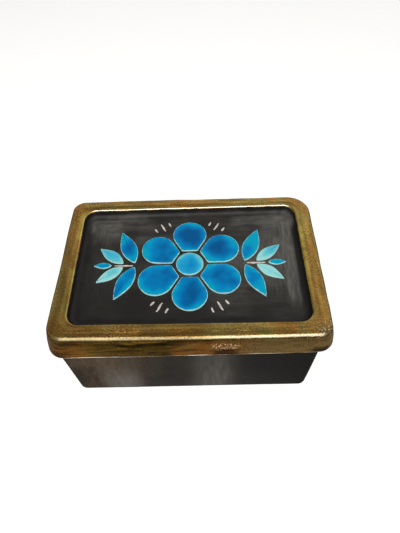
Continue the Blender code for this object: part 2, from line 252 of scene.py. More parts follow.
class Finishes(bpy.types.PropertyGroup):
    """Colours of the glazes, the lustre and the clay."""

    black: colour("Black glaze", "Where the satin glaze lies thick", "191714")
    # Also the colour of the painted sheen in the tray's cove and of the painted reflection on the body's
    # front.
    smear: colour("Smeared glaze", "Where the brush left the satin glaze thin", "67645E")
    # The body's smears, lighter and warmer towards the left.
    warm_smear: colour("Warm smear", "Where the clay warms thin glaze on the walls", "6B5842")
    copper_gold: colour("Copper gold", "Lustre that fired reddish down the sides", "B97A32")
    brown_gold: colour("Brown gold", "Lustre fired over a thick ground", "B98B46")
    olive_gold: colour("Olive gold", "Lustre fired over a thin ground", "B29A54")
    dark_gold: colour("Dark gold", "Lustre laid on thick, down the front left of the middle", "B9903A")
    sandy_gold: colour("Sandy gold", "Lustre broken by grit, down the front at the right", "B4945A")
    # A painted glint beside the tray.
    yellow_gold: colour("Yellow gold", "Lustre that fired yellow beside the tray", "E6CC66")
    # Painted highlights on the lustre: pale gold along the front edges, cream along the tray's back edge.
    pale_gold: colour("Pale gold", "Lustre pulled thin over the outer edge", "9F9370")
    cream_gold: colour("Cream gold", "Lustre pulled thinnest over the tray's edge", "DDD9C8")
    deep_blue: colour("Deep blue", "Blue glaze where it pools deepest", "005690")
    azure: colour("Azure", "Blue glaze of middle depth", "0086C2")
    turquoise: colour("Turquoise", "Blue glaze where it runs thin", "00A2C2")
    light_azure: colour("Light azure", "Paler blue glaze of middle depth", "2CAED8")
    aqua: colour("Aqua", "Pale glaze of middle depth", "68C8CE")
    pale_aqua: colour("Pale aqua", "Pale glaze where it runs thin", "9ADEDE")
    pale_edge: colour("Pale edge", "Glaze that breaks over a cell's edge", "B9E2DC")
    clay: colour("Fired clay", "Bare clay under the lid and the box", "C9B59C")
    chalk: colour("Chalk", "Slip in the pale strokes", "E2D9CF")
    floor: colour("Floor", "The studio's floor", "F4F3F1")


class StageSettings(bpy.types.PropertyGroup):
    """Camera and light."""

    camera: FloatVectorProperty(
        name="Camera",
        description="Where the camera stands",
        default=(11.09 * MM, -175.82 * MM, 324.11 * MM),
        subtype="TRANSLATION",
        unit="LENGTH",
    )
    yaw: angle("Yaw", "How far the camera turns right", -1.12)
    pitch: angle("Pitch", "How far the camera looks down", 54.09)
    roll: angle("Roll", "How far the camera leans", -2.30)
    lens: decimal("Lens", "Focal length in millimetres", 28.1)
    sky: decimal("Sky", "Brightness of the studio's ceiling", 0.13)
    wall: decimal("Wall", "Brightness of the pale wall behind the box", 0.52)
    wall_turn: angle("Wall turn", "How far the pale wall stands to the right of straight back", 34)
    wall_height: angle("Wall height", "How high over the horizon it is palest", 25)
    room: decimal("Room", "Brightness that the room adds near the horizon", 0.25)
    shade: decimal("Shade", "Brightness of the dim band under the horizon", 0.06)
    ground: decimal("Ground", "Brightness that the lid's sides mirror from below", 0.16)
    table: decimal("Table", "Brightness that the feet mirror from right below", 2.0)
    softbox: decimal("Softbox", "Power of the light over the camera, in watts", 14.0)
    floor_glow: decimal("Floor glow", "Light that the floor gives off itself", 0.45)
    softbox_size: length("Softbox size", "Length of the square light's sides", 1.2)
    softbox_away: length("Softbox distance", "From the lid to the light", 1.2)
    softbox_height: angle("Softbox height", "How high the light stands over the front", 57)


class BoxSettings(bpy.types.PropertyGroup):
    """Everything that can be set."""

    lid: PointerProperty(type=LidSizes, name="Lid", description="Sizes of the cap")
    tray: PointerProperty(type=TraySizes, name="Tray", description="Sizes of the tray and its rim")
    ornament: PointerProperty(type=OrnamentSizes, name="Ornament", description="Sizes of the glaze cells")
    body: PointerProperty(type=BodySizes, name="Body", description="Sizes of the lower half")
    finishes: PointerProperty(type=Finishes, name="Finishes", description="Colours of the surfaces")
    stage: PointerProperty(type=StageSettings, name="Stage", description="Camera and light")


def unit(vectors):
    return vectors / np.linalg.norm(vectors, axis=-1, keepdims=True)


def outline(half, radii, z, centre=(0.0, 0.0), aside=0.0, backward=0.0, curl=0.0, fade=1):
    """Points anticlockwise round a rectangle with round corners, from the middle of its right front corner.

    Its radii are one, or four in the order of the corners. Aside and backward draw the corners out of square,
    and curl lifts them, less and less away from each corner by the power of fade.
    """
    radii = np.broadcast_to(radii, 4)
    middles = (np.array(half) - radii[:, None]) * [(1, -1), (1, 1), (-1, 1), (-1, -1)]
    bend = np.linspace(0, 45, HALF_CORNER_STEPS, endpoint=False)
    points = []
    for side, steps in enumerate((SHORT_STEPS, LONG_STEPS, SHORT_STEPS, LONG_STEPS)):
        turn, following = 90 * side, (side + 1) % 4
        angles = np.radians(np.concatenate([turn - 45 + bend, np.full(steps, turn), turn + bend]))
        along = np.concatenate([np.zeros(len(bend)), np.arange(steps) / steps, np.ones(len(bend))])[:, None]
        away = np.column_stack([np.cos(angles), np.sin(angles)])
        middle = middles[side] + along * (middles[following] - middles[side])
        points.append(middle + (radii[side] + along * (radii[following] - radii[side])) * away)
    flat = np.concatenate(points)
    right, back = ((flat / half + 1) / 2).T
    shares = np.column_stack([right * (1 - back), right * back, (1 - right) * back, (1 - right) * (1 - back)])
    drawn = shares @ np.column_stack([np.broadcast_to(aside, 4), np.broadcast_to(backward, 4)])
    return np.column_stack([flat + drawn + centre, z + shares**fade @ np.broadcast_to(curl, 4)])


def straight_run(start, end, spacing):
    """Points between two ends, without the ends."""
    steps = max(1, round(np.linalg.norm(end - start) / spacing))
    return start + (end - start) * (np.arange(1, steps) / steps)[:, None]


def rounded_path(corners, radii, spacing, bend_steps):
    """Points along straight runs between corners, each inner one rounded by its radius."""
    corners = np.array(corners)
    stretches = [corners[:1]]
    for before, corner, after, radius in zip(corners, corners[1:], corners[2:], radii):
        back, on = unit(before - corner), unit(after - corner)
        half_angle = math.acos(back @ on) / 2
        sweep = math.pi - 2 * half_angle
        middle = corner + unit(back + on) * radius / math.sin(half_angle)
        start, end = (corner + way * radius / math.tan(half_angle) - middle for way in (back, on))
        turns = np.linspace(0, sweep, bend_steps + 1)[:, None]
        bend = middle + (start * np.sin(sweep - turns) + end * np.sin(turns)) / math.sin(sweep)
        stretches += [straight_run(stretches[-1][-1], bend[0], spacing), bend]
    stretches += [straight_run(stretches[-1][-1], corners[-1], spacing), corners[-1:]]
    return np.concatenate(stretches)


def loft_faces(rings, points_each):
    """Faces between rings, facing out where the rings run anticlockwise and follow one another upwards."""
    ring, place = np.meshgrid(np.arange(rings - 1), np.arange(points_each), indexing="ij")
    first, after = ring * points_each + place, ring * points_each + (place + 1) % points_each
    return np.stack([first, after, after + points_each, first + points_each], axis=-1).reshape(-1, 4)


def end_faces(rings, points_each):
    """The faces over the first and the last ring."""
    last = (rings - 1) * points_each
    return [list(range(points_each))[::-1], list(range(last, last + points_each))]


def fill_outline(ring, first_index, next_index):
    """Fills an outline with an even grid: the points inside it, and all its faces, which face up."""
    across, along = LONG_STEPS + 2 * HALF_CORNER_STEPS, SHORT_STEPS + 2 * HALF_CORNER_STEPS
    sides = (
        (np.full(along, across), np.arange(along)),
        (across - np.arange(across), np.full(across, along)),
        (np.zeros(along, int), along - np.arange(along)),
        (np.arange(across), np.zeros(across, int)),
    )
    column, row = (np.concatenate(part) for part in zip(*sides))
    index = np.zeros((across + 1, along + 1), int)
    index[column, row] = first_index + np.arange(len(ring))
    edge = np.zeros((across + 1, along + 1, 3))
    edge[column, row] = ring
    u = np.linspace(0, 1, across + 1)[:, None, None]
    v = np.linspace(0, 1, along + 1)[None, :, None]
    front_to_back = (1 - v) * edge[:, :1] + v * edge[:, -1:]
    left_to_right = (1 - u) * edge[:1] + u * edge[-1:]
    left, right = ((1 - v) * edge[end, 0] + v * edge[end, -1] for end in (0, -1))
    corners = (1 - u) * left + u * right
    inside = (front_to_back + left_to_right - corners)[1:-1, 1:-1].reshape(-1, 3)
    index[1:-1, 1:-1] = next_index + np.arange(len(inside)).reshape(across - 1, along - 1)
    faces = np.stack([index[:-1, :-1], index[1:, :-1], index[1:, 1:], index[:-1, 1:]], axis=-1)
    return inside, faces.reshape(-1, 4)


def waves(points, size, seed):
    """A smooth noise between 0 and 1 at each point, with bumps of this size."""
    shift = Vector((seed, 2 * seed, 3 * seed))
    return np.array([0.5 + 0.5 * noise.noise(Vector(point) / size + shift) for point in points])


def add_piece(name, points, faces, materials, slot):
    """A smooth mesh that rides on the box, with these materials; the slot it is given is not used."""
    mesh = bpy.data.meshes.new(name)
    mesh.from_pydata(points.tolist(), [], faces)
    for material in materials:
        mesh.materials.append(material)
    mesh.shade_smooth()
    piece = bpy.data.objects.new(name, mesh)
    bpy.context.scene.collection.objects.link(piece)
    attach(piece, "root")
    return piece


def vertex_normals(piece):
    normals = np.empty(len(piece.data.vertices) * 3, np.float32)
    piece.data.vertex_normals.foreach_get("vector", normals)
    return normals.reshape(-1, 3)


def press(piece, points, depths):
    """Moves each point in along its normal by its own depth."""
    moved = points - vertex_normals(piece) * depths[:, None]
    piece.data.vertices.foreach_set("co", moved.ravel())
    piece.data.update()


def keep_value(piece, name, values):
    """Keeps one number for each point, which a material reads."""
    attribute = piece.data.attributes.new(name, "FLOAT", "POINT")
    attribute.data.foreach_set("value", np.asarray(values, np.float32))


def add_node(tree, kind, *values, **named):
    """Adds a node and gives its output. Its inputs, in order or by name, take values or other outputs."""
    node_type, order, output, settings = kind
    node = tree.nodes.new(node_type)
    for setting, value in settings.items():
        setattr(node, setting, value)
    inputs = dict(zip(order, values)) | {name.replace("_", " "): value for name, value in named.items()}
    for key, value in inputs.items():
        if isinstance(value, bpy.types.NodeSocket):
            tree.links.new(value, node.inputs[key])
        else:
            node.inputs[key].default_value = value
    return node.outputs[output] if node.outputs else node


def new_material(name):
    """An empty material: itself, what adds a node to it, and its coordinates: metres in the frame's axes."""
    material = bpy.data.materials.new(name)
    material.use_nodes = True
    material.node_tree.nodes.clear()
    add = partial(add_node, material.node_tree)
    return material, add, add(PLACE)


def finish_material(add, **inputs):
    """Ends a material with its shader, whose inputs are given by name."""
    add(MATERIAL_END, add(SURFACE, **inputs))


def mottle(add, place, size, detail=2.0, distortion=0.0, smooth=(0.3, 0.7), to=(0.0, 1.0)):
    """A cloudy pattern with clouds of this size, spread over the range asked for."""
    return add(SPREAD, add(CLOUDS, place, 1 / size, detail, distortion), *smooth, *to)


def brushed(add, place, strokes, size, **clouds):
    """Clouds drawn out by a brush. Strokes lists how each direction of it stretches them, and where."""
    drawn = 0.0
    for stretch, shows in strokes:
        drawn = add(MIX, shows, drawn, mottle(add, add(STRETCH, place, stretch), size, **clouds))
    return drawn


def times(add, *factors):
    """The product of several numbers."""
    return reduce(partial(add, TIMES), factors)


def near(add, value, middle, inner, outer):
    """How close a value is to a middle: 1 within the inner reach of it, and 0 beyond the outer one."""
    return add(SPREAD, add(SIZE, add(MINUS, value, middle)), inner, outer, 1.0, 0.0)


def satin_glaze(add, place, black, smeared, strokes, thinned, even):
    """Colour, roughness and height of the black satin glaze.

    It was brushed on in broad strokes and fired matt. The eye sees a soft black with cloudy grey smears where
    the brush dragged it thin, and faint brush lines in its sheen. Thinned is how far the glaze may thin out,
    and even is the share of that which shows everywhere.
    """
    cloud = brushed(add, place, strokes, 8 * MM, detail=3.0, distortion=0.3, smooth=(0.2, 0.8))
    lines = brushed(add, place, strokes, 1.6 * MM)
    patches = mottle(add, place, 34 * MM, smooth=(0.25, 0.75))
    thin = add(SPREAD, add(PLUS, cloud, patches), 0.3, 1.6, even, 1.0)
    smear = times(add, thin, thinned, add(SPREAD, lines, 0.0, 1.0, 0.7, 1.05))
    return add(BLEND, smear, black, smeared), add(SPREAD, smear, 0.0, 1.0, 0.42, 0.55), lines


def lid_surface(add, place):
    """Where a point of the lid lies and faces, how far inside the lustre it is, and how it was brushed."""
    along, across, up = (add(axis, place) for axis in AXES)
    facing = add(FACING)
    to_right, to_back, slope = (add(axis, facing) for axis in AXES)
    # The brush ran along X at the front and the back, and along Y at the left and the right.
    beside = add(SPREAD, add(MINUS, add(SIZE, along), add(SIZE, across)), *mm(24, 38))
    return SimpleNamespace(
        place=place,
        along=along,
        across=across,
        up=up,
        to_right=to_right,
        to_back=to_back,
        slope=slope,
        steep=add(SPREAD, slope, 0.25, 0.5, 1.0, 0.0),
        inside=add(INSIDE_LUSTRE),
        beside=beside,
        strokes=(((0.2, 1.0, 1.0), 1.0), ((1.0, 0.2, 1.0), beside)),
    )


def tray_glaze(add, at, finishes):
    """The tray's black glaze: darkest at the walls and cove, where it pooled and where painted shade falls,
    and with lighter smears towards the right and the back.
    """
    pooled_to = add(
        PLUS,
        mottle(add, at.place, 16 * MM, smooth=(0.2, 0.8), to=mm(-3, 3)),
        add(SPREAD, at.across, *mm(25, 42, 0, -5)),
    )
    pooled = add(SPREAD, add(PLUS, at.inside, pooled_to), *mm(-12, -6), 1.0, 0.0)
    lightest = add(PLUS, at.across, add(TIMES, at.along, 0.5))
    # In the middle behind, the glaze is darker.
    dark = times(add, near(add, at.along, *mm(2, 24, 38)), add(SPREAD, at.across, *mm(16, 30), 0.0, 0.6))
    elsewhere = add(MINUS, 1.0, dark)
    thinned = times(add, pooled, add(SPREAD, lightest, *mm(-60, 60), 0.08, 0.75), elsewhere)
    # Lighter streaks: a painted sheen along the back wall's cove, and where the brush went dry in the left
    # corner behind and along the right wall.
    behind = times(
        add,
        near(add, at.inside, *mm(-10, 1.8, 4.2)),
        add(SPREAD, at.across, *mm(26, 36), 0.0, 0.7),
        elsewhere,
    )
    corner = times(
        add,
        near(add, at.along, *mm(-61, 6, 18)),
        add(SPREAD, at.across, *mm(8, 36)),
        add(SPREAD, at.inside, *mm(-9, -6.5), 0.9, 0.0),
    )
    right = times(
        add,
        near(add, at.inside, *mm(-11.5, 3.2, 6.5)),
        add(SPREAD, at.along, *mm(42, 58)),
        add(SPREAD, at.across, *mm(-42, -24), 0.35, 0.95),
    )
    streaks = brushed(add, at.place, at.strokes, 3 * MM, detail=3.0, to=(0.72, 1.0))
    dry = times(add, reduce(partial(add, HIGHER), (corner, right, behind)), streaks)
    thinned, even = (add(HIGHER, dry, least) for least in (thinned, 0.18))
    return satin_glaze(add, at.place, finishes.black, finishes.smear, at.strokes, thinned, even)


def fired_skirt(add, at):
    """How the lustre fired down the front: how bright, how thick, how sandy, and where grit sparkles.

    It is thick and dark left of the middle, mid gold farther left, and brighter at the left end. A dark line
    wanders under the edge, with a brighter strip above it: a painted reflection. Right of the middle the
    lustre is thin and sandy, and brightest at the right end, where painted light glows on the corner over
    painted shade at its foot.
    """
    left_end = add(SPREAD, at.along, *mm(-76, -62), 1.0, 0.0)
    thick = times(add, add(SPREAD, at.along, *mm(-16, -7), 1.0, 0.0), add(MINUS, 1.0, left_end))
    sandy = add(SPREAD, at.along, *mm(26, 44), 0.0, 0.9)
    # Where this height over the table is lower, the dark line and what goes with it lie higher up.
    lines = (
        at.up,
        mottle(add, at.place, 20 * MM, to=mm(-0.8, 0.8)),
        add(SPREAD, at.along, *mm(-30, -12, 0, -2.5)),
        add(SPREAD, at.along, *mm(-46, -36, -2, 0)),
    )
    wave = reduce(partial(add, PLUS), lines)
    shade = 1.6
    for stretch, brightness in (
        (thick, 0.62),
        (add(SPREAD, at.along, *mm(-50, -38), 1.0, 0.0), 0.95),
        (left_end, 1.4),
        (times(add, sandy, add(SPREAD, at.along, *mm(64, 80), 1.0, 0.0)), 1.8),
        # Painted light glows on the right corner.
        (near(add, at.along, *mm(87, 4, 10)), 2.2),
        # Painted reflection: a brighter strip over the dark line.
        (add(SPREAD, wave, *mm(83.6, 84.8)), 1.4),
    ):
        shade = add(MIX, stretch, shade, brightness)
    # Painted reflection: a dark band that wanders under the edge.
    painted_dark_band = times(
        add,
        near(add, wave, *mm(82.2, 0.8, 2.4)),
        add(MIX, sandy, 0.6, 0.35),
        add(MIX, thick, 0.6, 1.0),
        add(SPREAD, at.along, *mm(-68, -56)),
    )
    # A patch right of the middle sparkles above and is dark below.
    patch = near(add, at.along, *mm(23, 5, 11))
    below = times(add, patch, add(SPREAD, wave, *mm(72.5, 75), 0.65, 0.0))
    # Painted shade darkens the right corner towards its foot.
    corner = times(add, near(add, at.along, *mm(84, 3, 8)), add(SPREAD, at.up, *mm(76, 81), 0.8, 0.0))
    for dark in (painted_dark_band, below, corner):
        shade = times(add, shade, add(MINUS, 1.0, dark))
    sparkling = times(add, patch, near(add, wave, *mm(77.5, 2, 4)))
    return SimpleNamespace(shade=shade, thick=thick, sandy=sandy, sparkling=sparkling)


def lustre_gold(add, at, skirt, speckle, finishes):
    """The lustre's gold, away from its painted edge highlights.

    On the rim it is brown and olive in soft patches, but brown and dark in the middle of the front. Down the
    sides it is coppery, and down the front as the skirt fired. Beside the tray, at both ends, a painted
    yellow glint lies along its inner edge.
    """
    at_front = add(SPREAD, at.across, *mm(-58, -48), 1.0, 0.0)
    browner = times(add, at_front, near(add, at.along, *mm(-16, 16, 34)))
    hue = mottle(add, at.place, 22 * MM, detail=4.0, distortion=0.6, smooth=(0.35, 0.65))
    olive = times(add, hue, add(SPREAD, at.steep, 0.0, 1.0, 1.0, 0.0), add(MIX, browner, 1.0, 0.2))
    fired = mottle(add, at.place, 13 * MM, detail=3.0, smooth=(0.4, 0.6), to=(0.25, 1.0))
    coppery = add(HIGHER, at.steep, times(add, browner, 0.6))
    coppery = times(add, coppery, fired, add(MIX, skirt.thick, 1.0, 0.2))
    sandy = times(add, at.steep, skirt.sandy)
    gold = finishes.brown_gold
    for amount, tone in (
        (olive, finishes.olive_gold),
        (times(add, at.steep, skirt.thick), finishes.dark_gold),
        (coppery, finishes.copper_gold),
        (sandy, finishes.sandy_gold),
    ):
        gold = add(BLEND, amount, gold, tone)
    top_shade = add(MIX, at_front, 1.0, add(MIX, browner, 0.76, 0.6))
    shade = add(MIX, at.steep, top_shade, skirt.shade)
    streaks = brushed(add, at.place, at.strokes, 4 * MM, detail=3.0, to=(0.35, 1.75))
    streaky = add(MINUS, add(SPREAD, at.steep, 0.0, 1.0, 0.42, 1.0), times(add, sandy, 0.6))
    bright = times(add, add(MIX, streaky, 1.0, streaks), speckle, shade)
    gold = add(DYE, 1.0, gold, add(LOWER, bright, BRIGHTEST))
    # Painted glint: yellow gold along the rim's inner edge at both ends of the tray.
    yellow = times(
        add,
        mottle(add, at.place, 14 * MM, detail=3.0, smooth=(0.4, 0.6), to=(0.15, 0.9)),
        add(SPREAD, at.inside, *mm(3, 5.5), 1.0, 0.0),
        at.beside,
        add(SPREAD, at.up, *mm(84, 87)),
        add(SPREAD, at.across, *mm(-30, 10), 0.3, 1.0),
    )
    return add(BLEND, yellow, gold, finishes.yellow_gold)


def pale_edge(add, at, grit, finishes):
    """Where a painted highlight lies along an edge that faces the front, and its pale gold there.

    In the middle of the rim's front edge the painted highlight is dimmed and grainy with grit. Right of that
    it is ragged, and it turns creamier there and along the tray's back edge.
    """
    to_front = add(SPREAD, at.to_back, -0.4, -0.15, 1.0, 0.0)
    at_tray = add(SPREAD, at.inside, *mm(3, 6), 1.0, 0.0)
    ragged = add(MIX, add(SPREAD, at.along, *mm(-10, 20)), 1.0, add(SPREAD, grit, 0.1, 0.6, 0.5, 1.0))
    # Painted highlight: the part of each edge that faces the front and up, towards the light over the camera.
    edge = times(
        add,
        add(SPREAD, at.slope, 0.55, 0.75),
        add(SPREAD, at.slope, 0.9, 0.98, 1.0, 0.0),
        to_front,
        near(add, at.to_right, 0.0, 0.12, 0.4),
        add(HIGHER, ragged, at_tray),
    )
    dimmed_highlight = add(MIX, near(add, at.along, *mm(-16, 14, 40)), 1.0, add(SPREAD, grit, 0.2, 0.8, 0.45, 0.8))
    cream_highlight = add(HIGHER, at_tray, add(SPREAD, at.along, *mm(-10, 50), 0.0, 0.35))
    pale = add(BLEND, cream_highlight, finishes.pale_gold, finishes.cream_gold)
    return edge, add(DYE, 1.0, pale, add(HIGHER, dimmed_highlight, at_tray))


def bare_spots(add, at, skirt, grit, painted):
    """Where the lustre leaves bare clay to show, and pale specks of grit that paint its glints."""
    # The skirt's foot was wiped, so bare clay shows there as a thin pale line that comes and goes. The line
    # also paints the table's reflection along the foot.
    width = mottle(add, at.place, 24 * MM, detail=3.0, smooth=(0.3, 0.6), to=mm(1.2, 2.7))
    wiped = times(
        add,
        add(SPREAD, add(MINUS, at.inside, width), *mm(-0.2, 0.2), 1.0, 0.0),
        add(SPREAD, at.slope, 0.45, 0.6, 1.0, 0.0),
        add(SPREAD, at.up, *mm(75, 78), 1.0, 0.0),
        add(SPREAD, at.along, *mm(20, 60), 1.0, 0.45),
    )
    # Where the lustre sparkles, in the skirt's patch and over the right front corner, pale specks of grit
    # paint its glints.
    at_corner = times(
        add,
        add(SPREAD, at.along, *mm(76, 86)),
        add(SPREAD, at.across, *mm(-58, -46), 0.9, 0.0),
        add(SPREAD, at.slope, 0.25, 0.5),
    )
    sparkling = add(HIGHER, times(add, skirt.sparkling, at.steep), at_corner)
    sparks = times(add, sparkling, add(SPREAD, grit, 0.6, 0.95, 0.0, 0.65), painted)
    return add(HIGHER, wiped, sparks)


def lustre_over_glaze(finishes):
    """Gold lustre, brushed over black satin glaze and fired on.

    The eye sees a warm metal that is never one colour: brown and olive gold in soft patches, drawn out by the
    brush along each side, with a painted yellow glint beside the tray, and a painted pale highlight along the
    front edge and the tray's back edge. Down the front it fired dark left of the middle and sandy right of
    it, under a painted reflection band, with painted light and shade at the right corner. Grit breaks its
    highlights, and pale specks of grit paint its glints in a patch of the skirt and at the right front
    corner.
    It ends inside the tray in a ragged painted line, and was wiped off the skirt's foot, whose pale line also
    paints the table's reflection.
    """
    material, add, place = new_material("gold_lustre_over_black_glaze")
    at = lid_surface(add, place)
    skirt = fired_skirt(add, at)
    # Real grit is finer than a pixel, so it is drawn three times as coarse to show.
    grit = mottle(add, place, 1.1 * MM)
    gritty = mottle(add, place, 30 * MM, detail=3.0, smooth=(0.42, 0.62), to=(0.4, 1.0))
    speckle = add(MIX, gritty, 1.0, add(SPREAD, grit, 0.0, 1.0, 0.55, 1.45))
    wander = mottle(add, place, 5 * MM, detail=4.0, smooth=(0.25, 0.75), to=mm(-0.7, 0.7))
    painted = add(SPREAD, add(PLUS, at.inside, wander), *mm(0, 0.25))

    black, black_rough, lines = tray_glaze(add, at, finishes)
    # Painted highlights along the edges that face the front.
    edge, pale = pale_edge(add, at, grit, finishes)
    gold = add(BLEND, edge, lustre_gold(add, at, skirt, speckle, finishes), pale)
    gold_rough = add(SPREAD, add(HIGHER, gritty, edge), 0.35, 1.0, 0.26, 0.33)
    bare = bare_spots(add, at, skirt, grit, painted)
    height = add(MIX, painted, lines, times(add, grit, gritty))
    finish_material(
        add,
        Base_Color=add(BLEND, bare, add(BLEND, painted, black, gold), finishes.chalk),
        Metallic=add(HIGHER, add(MINUS, painted, bare), 0.0),
        Roughness=add(MIX, painted, black_rough, gold_rough),
        Normal=add(BUMP, 1.0, 0.06 * MM, height),
        Specular_IOR_Level=0.25,
    )
    return material


def black_glaze(finishes):
    """Black satin glaze on plain walls, its smears lighter and warmer towards the left."""
    material, add, place = new_material("black_satin_glaze")
    along, across, up = (add(axis, place) for axis in AXES)
    thinned = add(SPREAD, along, *mm(-66, -10), 0.56, 0.12)
    thinned = times(add, thinned, add(SPREAD, along, *mm(24, 50), 1.0, 0.0))
    strokes, dry_strokes = ([((1.0, 1.0, stretch), 1.0)] for stretch in (0.3, 0.15))
    tint, rough, lines = satin_glaze(add, place, finishes.black, finishes.warm_smear, strokes, thinned, 0.35)
    # Grey streaks in two patches on the front: the left one, strongest near the foot, is a painted reflection
    # of the table; in the middle one the brush went dry.
    left = times(add, near(add, along, *mm(-54, 7, 20)), add(SPREAD, up, *mm(10, 50), 0.75, 0.1))
    middle = times(add, near(add, along, *mm(16, 4, 21)), add(SPREAD, up, *mm(10, 60), 0.5, 0.28))
    at_front = add(SPREAD, across, *mm(-50, -40), 1.0, 0.0)
    streaks = brushed(add, place, dry_strokes, 3 * MM, detail=3.0, to=(0.6, 1.1))
    tint = add(BLEND, times(add, add(PLUS, left, middle), at_front, streaks), tint, finishes.smear)
    normal = add(BUMP, 1.0, 0.04 * MM, lines)
    finish_material(add, Base_Color=tint, Roughness=rough, Specular_IOR_Level=0.06, Normal=normal)
    return material


def bare_clay(name, tint):
    """Fired stoneware without glaze: dull, gritty and faintly mottled."""
    material, add, place = new_material(name)
    grog = mottle(add, place, 3 * MM, detail=6.0)
    shaded = add(DYE, 1.0, tint, add(SPREAD, grog, 0.0, 1.0, 0.65, 1.0))
    finish_material(add, Base_Color=shaded, Roughness=0.85, Normal=add(BUMP, 1.0, 0.15 * MM, grog))
    return material


def pooled_glaze(finishes, name, thin, middle, deep):
    """Glossy alkaline glaze that pooled in a cell.

    The eye sees it pale where it breaks over the cell's edge, then clear and light, and deepest in the
    middle, in soft clouds.
    """
    material, add, place = new_material(name)
    away = add(FROM_EDGE)
    depth = add(PLUS, away, mottle(add, place, 18 * MM, smooth=(0.2, 0.8), to=mm(-7, 7)))
    tint = add(BLEND, add(SPREAD, depth, *mm(-3, 5)), thin, middle)
    tint = add(BLEND, add(SPREAD, depth, *mm(1, 14)), tint, deep)
    uneven = mottle(add, place, 3 * MM, detail=3.0)
    width = add(SPREAD, uneven, 0.0, 1.0, *mm(0.2, 0.48))
    broken = add(SPREAD, add(OVER, away, width), 0.7, 1.3, 1.0, 0.0)
    tint = add(BLEND, broken, tint, finishes.pale_edge)
    normal = add(BUMP, 1.0, 0.03 * MM, uneven)
    finish_material(add, Base_Color=tint, Roughness=0.16, Specular_IOR_Level=0.1, Normal=normal)
    return material


def tray_half_and_centre(lid, tray):
    """Half the tray's length and depth at its rim, and where its middle lies."""
    half = np.array([lid.half_length, lid.half_depth])
    rims = np.array([tray.rim_left + tray.rim_right, tray.rim_front + tray.rim_back])
    centre = np.array([tray.rim_left - tray.rim_right, tray.rim_front - tray.rim_back]) / 2
    return half - rims / 2, centre


def lid_rings(lid):
    """Outlines from the ceiling down inside the skirt, round its foot, up its side and onto the rim."""
    half = np.array([lid.half_length, lid.half_depth])
    low = lid.top - lid.crown
    waist = (lid.foot + low) / 2
    foot_middle = lid.wall / 2
    inside = [(lid.wall, lid.ceiling), (lid.wall, lid.foot), (foot_middle, lid.foot)]
    rings = []
    for inward, z in rounded_path(inside, [lid.foot_edge], spacing=2 * MM, bend_steps=4):
        narrowing = (inward - foot_middle) / (lid.wall - foot_middle)
        radii = (1 - narrowing) * (np.array(lid.foot_corners) - foot_middle) + narrowing * lid.inside_corner
        curl = (lid.ceiling - z) / (lid.ceiling - lid.foot) * np.array(lid.curl)
        rings.append(outline(half - inward, radii, z, curl=curl, fade=lid.curl_fade))
    side = [
        (foot_middle, lid.foot),
        (0.0, lid.foot),
        (lid.lean * lid.waist, waist),
        (lid.lean, low),
        (lid.lean + PAST_EDGE * lid.edge, low),
    ]
    for inward, z in rounded_path(side, [lid.foot_edge, lid.bow, lid.edge], spacing=MM, bend_steps=9)[1:]:
        up = (z - lid.foot) / (low - lid.foot)
        radii = (1 - up) * np.array(lid.foot_corners) + up * np.array(lid.rim_corners)
        leaned = np.interp(z, (lid.foot, waist, low), (0.0, lid.lean * lid.waist, lid.lean))
        drawn = {"aside": up * np.array(lid.aside), "backward": up * np.array(lid.backward)}
        drawn |= {"curl": (1 - up) * np.array(lid.curl), "fade": lid.curl_fade}
        rings.append(outline(half - inward, radii - (inward - leaned), z, **drawn))
    return rings


def tray_rings(lid, tray):
    """Outlines from the rim over the tray's edge, down its wall and round the cove to the floor."""
    half, centre = tray_half_and_centre(lid, tray)
    low, floor = lid.top - lid.crown, lid.top - tray.depth
    path = [
        (-PAST_EDGE * tray.edge, low),
        (0.0, low),
        (tray.wall_run, floor),
        (tray.wall_run + tray.cove, floor),
    ]
    path = rounded_path(path, [tray.edge, tray.cove], spacing=0.8 * MM, bend_steps=7)
    drawn = {"aside": tray.aside, "backward": tray.backward}
    return [outline(half - inward, tray.corner - inward, z, centre, **drawn) for inward, z in path]


def crowned_rings(start, end, crown):
    """Outlines across the rim, between its outer and its inner edge."""
    for between in np.linspace(0, 1, RIM_STEPS + 1)[1:-1]:
        ring = (1 - between) * start + between * end
        ring[:, 2] += crown * (1 - math.cos(math.tau * between)) / 2
        yield ring


def front_bulge(lid, rings):
    """How far each point comes forward, which fades away from the middle of the rim's front edge."""
    right, back, up = rings[:, :, 0], rings[:, :, 1], rings[:, :, 2]
    in_middle = np.clip(1 - (right / lid.half_length) ** 2, 0, 1) ** 2
    at_front = np.clip(-back / lid.half_depth, 0, 1) ** 8
    at_top = np.clip((up - lid.foot) / (lid.top - lid.crown - lid.foot), 0, 1) ** 2
    return lid.bulge * in_middle * at_front * at_top


def inside_lustre(tray, rings, foot_ring, edge_ring, floor_points):
    """How far inside the lustre each point lies: from the skirt's foot, or from the line inside the tray."""
    runs = np.concatenate([[0.0], np.cumsum(np.linalg.norm(np.diff(rings, axis=0), axis=2).mean(axis=1))])
    paint_end = runs[edge_ring] + PAST_EDGE * tray.edge + tray.paint_line
    inside = np.minimum(runs - runs[foot_ring], paint_end - runs)
    floor_half, centre = np.ptp(rings[-1], axis=0)[:2] / 2, rings[-1].mean(axis=0)[:2]
    from_cove = np.min(floor_half - np.abs(floor_points[:, :2] - centre), axis=1)
    return [*np.repeat(inside, rings.shape[1]), *(inside[-1] - from_cove)]


